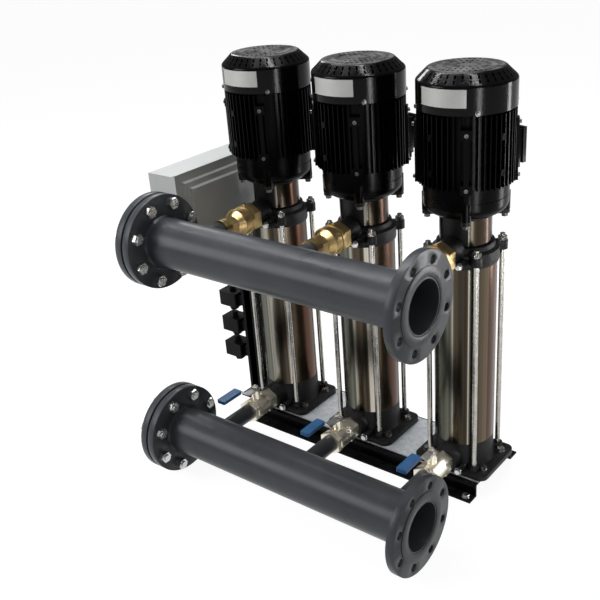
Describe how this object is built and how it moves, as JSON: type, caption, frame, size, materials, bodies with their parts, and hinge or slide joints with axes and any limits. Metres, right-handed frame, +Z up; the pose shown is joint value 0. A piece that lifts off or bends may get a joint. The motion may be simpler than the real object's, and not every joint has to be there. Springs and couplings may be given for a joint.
{
  "type": "booster pump set",
  "caption": "Booster set of vertical multistage pumps in a row between flanged suction and discharge manifolds, with ball valves, check valves and a control panel.",
  "frame": {"origin": "floor level at the centre of the frame's anchor bolt pattern, which is on the middle pump's axis", "axes": "+Z up, +X along the manifolds towards their open flanges, +Y from the manifolds back to the pumps"},
  "size_m": [0.9155, 0.6259, 0.984],
  "materials": {
    "black_paint": "gloss black enamel",
    "black_casting": "black painted casting",
    "cowl_paint": "gloss black enamel",
    "mirror_steel": "polished stainless steel",
    "shaft_steel": "ground steel",
    "zinc_steel": "zinc plated",
    "galvanised": "galvanised sheet",
    "grey_paint": "satin dark grey",
    "light_grey_paint": "light grey powder coat",
    "nickel": "nickel plated brass",
    "brass": "cast and turned brass",
    "blue_grip": "blue sleeve on a steel lever",
    "gasket": "flat gasket",
    "black_plastic": "black moulding",
    "grey_plastic": "switchgear moulding"
  },
  "bodies": {
    "set": {"pump_base_left": "black_casting", "pump_base_middle": "black_casting", "pump_base_right": "black_casting", "outer_sleeve_left": "mirror_steel", "outer_sleeve_middle": "mirror_steel", "outer_sleeve_right": "mirror_steel", "pump_head_left": "black_casting", "pump_head_middle": "black_casting", "pump_head_right": "black_casting", "motor_stool_left": "black_casting", "motor_stool_middle": "black_casting", "motor_stool_right": "black_casting", "motor_frame_left": "black_paint", "motor_frame_middle": "black_paint", "motor_frame_right": "black_paint", "fan_cowl_left": "cowl_paint", "fan_cowl_middle": "cowl_paint", "fan_cowl_right": "cowl_paint", "terminal_box_left": "black_paint", "terminal_box_middle": "black_paint", "terminal_box_right": "black_paint", "suction_valve_left": "nickel", "suction_valve_middle": "nickel", "suction_valve_right": "nickel", "check_valve_left": "brass", "check_valve_middle": "brass", "check_valve_right": "brass", "base_frame": "black_paint", "deck_plate": "galvanised", "discharge_manifold": "grey_paint", "suction_manifold": "grey_paint", "blind_flanges": "grey_paint", "flange_gaskets": "gasket", "flange_bolts": "zinc_steel", "pump_fasteners": "zinc_steel", "coupling_guards": "mirror_steel", "panel_stand": "black_paint", "panel_box": "light_grey_paint", "panel_gear": "grey_plastic", "pressure_switches": "black_plastic"},
    "rotor_left": {"pump_rotor_left": "shaft_steel", "shaft_coupling_left": "shaft_steel", "motor_rotor_left": "shaft_steel", "cooling_fan_left": "black_plastic"},
    "rotor_middle": {"pump_rotor_middle": "shaft_steel", "shaft_coupling_middle": "shaft_steel", "motor_rotor_middle": "shaft_steel", "cooling_fan_middle": "black_plastic"},
    "rotor_right": {"pump_rotor_right": "shaft_steel", "shaft_coupling_right": "shaft_steel", "motor_rotor_right": "shaft_steel", "cooling_fan_right": "black_plastic"},
    "valve_left": {"valve_ball_left": "nickel", "valve_lever_left": "blue_grip"},
    "valve_middle": {"valve_ball_middle": "nickel", "valve_lever_middle": "blue_grip"},
    "valve_right": {"valve_ball_right": "nickel", "valve_lever_right": "blue_grip"},
    "door": {"panel_door": "light_grey_paint"},
    "lock": {"door_lock": "black_plastic"}
  },
  "joints": [
    {"name": "rotor_spin_left", "type": "hinge", "parent": "set", "child": "rotor_left", "pos_m": [-0.27, 0, 0.6], "axis": [0, 0, 1], "continuous": true},
    {"name": "rotor_spin_middle", "type": "hinge", "parent": "set", "child": "rotor_middle", "pos_m": [0, 0, 0.6], "axis": [0, 0, 1], "continuous": true},
    {"name": "rotor_spin_right", "type": "hinge", "parent": "set", "child": "rotor_right", "pos_m": [0.27, 0, 0.6], "axis": [0, 0, 1], "continuous": true},
    {"name": "valve_turn_left", "type": "hinge", "parent": "set", "child": "valve_left", "pos_m": [-0.27, -0.152, 0.13], "axis": [0, 0, 1], "range_deg": [0, 90]},
    {"name": "valve_turn_middle", "type": "hinge", "parent": "set", "child": "valve_middle", "pos_m": [0, -0.152, 0.13], "axis": [0, 0, -1], "range_deg": [0, 90]},
    {"name": "valve_turn_right", "type": "hinge", "parent": "set", "child": "valve_right", "pos_m": [0.27, -0.152, 0.13], "axis": [0, 0, -1], "range_deg": [0, 90]},
    {"name": "door_swing", "type": "hinge", "parent": "set", "child": "door", "pos_m": [-0.4895, 0.1015, 0.584], "axis": [0, 0, -1], "range_deg": [0, 115]},
    {"name": "lock_turn", "type": "hinge", "parent": "door", "child": "lock", "pos_m": [-0.5245, -0.173, 0.584], "axis": [1, 0, 0], "range_deg": [0, 90]}
  ]
}
